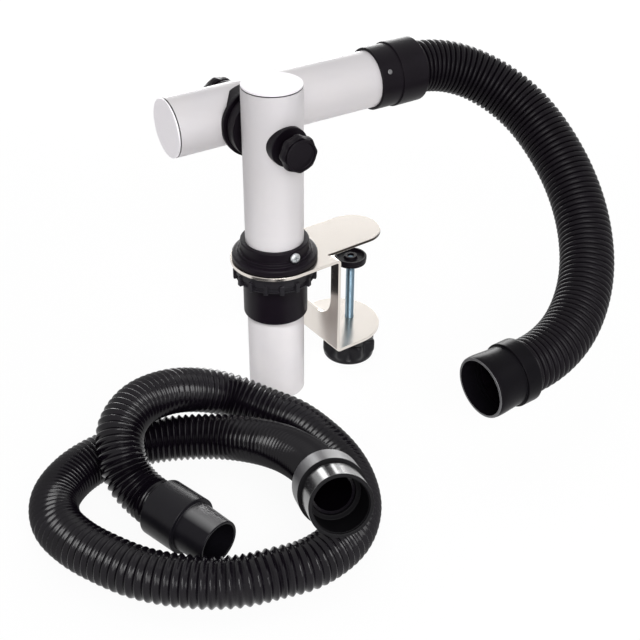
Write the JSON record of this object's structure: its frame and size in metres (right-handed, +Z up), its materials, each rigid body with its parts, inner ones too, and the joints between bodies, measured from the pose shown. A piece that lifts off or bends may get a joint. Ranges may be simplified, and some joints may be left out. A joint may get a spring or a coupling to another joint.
{
  "type": "fume extraction arm",
  "caption": "Bench-clamped fume extraction arm: column tube, pivoting arm tube, ribbed stay-put arm with open nozzle, and a loose ribbed connecting hose with cuffs.",
  "frame": {"origin": "underside of the bracket's tongue where it rests on the bench, on the clamp screw's axis", "axes": "+Z up along the column, +X from the column towards the bench, +Y to the arm tube's side"},
  "size_m": [0.5551, 0.3438, 0.2923],
  "materials": {
    "anodised_aluminium": "satin anodised",
    "cap_aluminium": "satin",
    "black_plastic": "satin",
    "grey_plastic": "satin",
    "nickel_steel": "nickel plated",
    "zinc_steel": "zinc plated",
    "hose_black": "gloss"
  },
  "bodies": {
    "bracket": {"bracket": "nickel_steel", "clamp_nut": "zinc_steel", "column_bush": "black_plastic"},
    "liner": {"column_liner": "grey_plastic"},
    "column": {"column_tube": "anodised_aluminium", "column_cap_plug": "black_plastic", "column_cap_disc": "cap_aluminium", "pivot_bolt": "zinc_steel", "column_saddle": "black_plastic", "front_washer": "black_plastic"},
    "front_knob": {"front_knob": "black_plastic"},
    "rear_knob": {"rear_knob": "black_plastic"},
    "arm": {"arm_tube": "anodised_aluminium", "arm_cap_plug": "black_plastic", "arm_cap_disc": "cap_aluminium", "arm_saddle": "black_plastic", "rear_washer": "black_plastic", "upper_cuff": "black_plastic", "cuff_rivet": "black_plastic"},
    "flex_1": {"flex_length_1": "hose_black"},
    "flex_2": {"flex_length_2": "hose_black"},
    "flex_3": {"flex_length_3": "hose_black"},
    "flex_4": {"flex_length_4": "hose_black"},
    "flex_5": {"flex_length_5": "hose_black"},
    "flex_6": {"flex_length_6": "hose_black", "nozzle_cuff": "black_plastic"},
    "clamp_pad": {"clamp_pad": "black_plastic"},
    "clamp_screw": {"clamp_screw": "zinc_steel", "clamp_knob": "black_plastic"},
    "ring_nut": {"ring_nut": "grey_plastic"},
    "collar_screw": {"collar_screw": "zinc_steel"},
    "loose_hose": {"connecting_hose": "hose_black", "large_hose_cuff": "black_plastic", "small_hose_cuff": "black_plastic"}
  },
  "joints": [
    {"name": "column_swivel", "type": "hinge", "parent": "bracket", "child": "liner", "pos_m": [-0.0825, 0, 0], "axis": [0, 0, 1], "range_deg": [-15, 225]},
    {"name": "column_slide", "type": "slide", "parent": "liner", "child": "column", "axis": [0, 0, 1], "range_m": [-0.03, 0.06]},
    {"name": "arm_pivot", "type": "hinge", "parent": "column", "child": "arm", "pos_m": [-0.0825, 0, 0.1152], "axis": [-0.0889, -0.996, 0], "range_deg": [-24, 80]},
    {"name": "front_knob_turn", "type": "hinge", "parent": "column", "child": "front_knob", "pos_m": [-0.0825, 0, 0.1152], "axis": [-0.0889, -0.996, 0], "range_deg": [0, 360]},
    {"name": "rear_knob_turn", "type": "hinge", "parent": "column", "child": "rear_knob", "pos_m": [-0.0825, 0, 0.1152], "axis": [0.0889, 0.996, 0], "range_deg": [0, 360]},
    {"name": "flex_bend_1", "type": "hinge", "parent": "arm", "child": "flex_1", "pos_m": [0.09704, 0.0402, 0.11912], "axis": [0.0671, 0.5408, -0.8385], "range_deg": [-24, 6], "deforming": ["flex_length_1"]},
    {"name": "flex_bend_2", "type": "hinge", "parent": "flex_1", "child": "flex_2", "pos_m": [0.15561, 0.01174, 0.10544], "axis": [0.0671, 0.5408, -0.8385], "range_deg": [-40, 5], "deforming": ["flex_length_2"]},
    {"name": "flex_bend_3", "type": "hinge", "parent": "flex_2", "child": "flex_3", "pos_m": [0.17914, -0.04236, 0.07243], "axis": [0.0671, 0.5408, -0.8385], "range_deg": [-26, 8], "deforming": ["flex_length_3"]},
    {"name": "flex_bend_4", "type": "hinge", "parent": "flex_3", "child": "flex_4", "pos_m": [0.17179, -0.09914, 0.03522], "axis": [0.0671, 0.5408, -0.8385], "range_deg": [-19, 10], "deforming": ["flex_length_4"]},
    {"name": "flex_bend_5", "type": "hinge", "parent": "flex_4", "child": "flex_5", "pos_m": [0.14258, -0.14992, 0.00013], "axis": [0.0671, 0.5408, -0.8385], "range_deg": [-21, 10], "deforming": ["flex_length_5"]},
    {"name": "flex_bend_6", "type": "hinge", "parent": "flex_5", "child": "flex_6", "pos_m": [0.09305, -0.18731, -0.02795], "axis": [0.0671, 0.5408, -0.8385], "range_deg": [-27, 8], "deforming": ["flex_length_6"]},
    {"name": "clamp_turn", "type": "hinge", "parent": "clamp_pad", "child": "clamp_screw", "pos_m": [0, 0, -0.06], "axis": [0, 0, 1], "range_deg": [-15840, 1836]},
    {"name": "pad_travel", "type": "slide", "parent": "bracket", "child": "clamp_pad", "axis": [0, 0, 1], "range_m": [-0.0552, 0.0065]},
    {"name": "ring_nut_turn", "type": "hinge", "parent": "bracket", "child": "ring_nut", "pos_m": [-0.0825, 0, -0.009], "axis": [0, 0, 1], "range_deg": [0, 360]},
    {"name": "collar_screw_turn", "type": "hinge", "parent": "bracket", "child": "collar_screw", "pos_m": [-0.0825, -0.03, 0.0146], "axis": [0, -1, 0], "range_deg": [0, 360]},
    {"name": "hose_lift", "type": "slide", "parent": "bracket", "child": "loose_hose", "axis": [0, 0, 1], "range_m": [0, 0.03]}
  ],
  "couplings": [
    {"joint": "pad_travel", "follows": "clamp_turn", "m_per_rad": 0.00019894}
  ]
}
